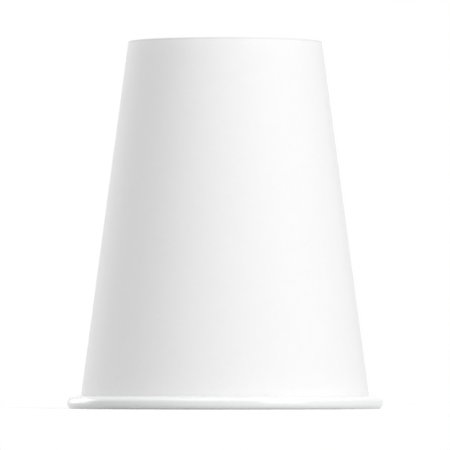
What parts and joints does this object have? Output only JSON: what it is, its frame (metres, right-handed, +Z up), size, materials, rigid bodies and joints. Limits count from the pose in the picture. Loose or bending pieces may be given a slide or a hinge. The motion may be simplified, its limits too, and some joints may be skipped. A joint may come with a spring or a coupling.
{
  "type": "paper hot cup",
  "caption": "Upside-down paper cup for hot drinks: a tapered wall wrapped with a side seam, a rolled rim, and a round base clamped in the folded hem.",
  "frame": {"origin": "centre of the rim's resting plane, below the upside-down cup", "axes": "+Z up along the cup's axis towards its closed base, +Y towards the side seam"},
  "size_m": [0.079, 0.079, 0.092],
  "materials": {
    "wall_board": "white paperboard, matt outside, film-coated with a soft gloss inside and on the rolled rim",
    "base_board": "white paperboard, matt outside, film-coated inside"
  },
  "bodies": {
    "root": {"sidewall": "wall_board", "base_disc": "base_board"}
  },
  "joints": []
}
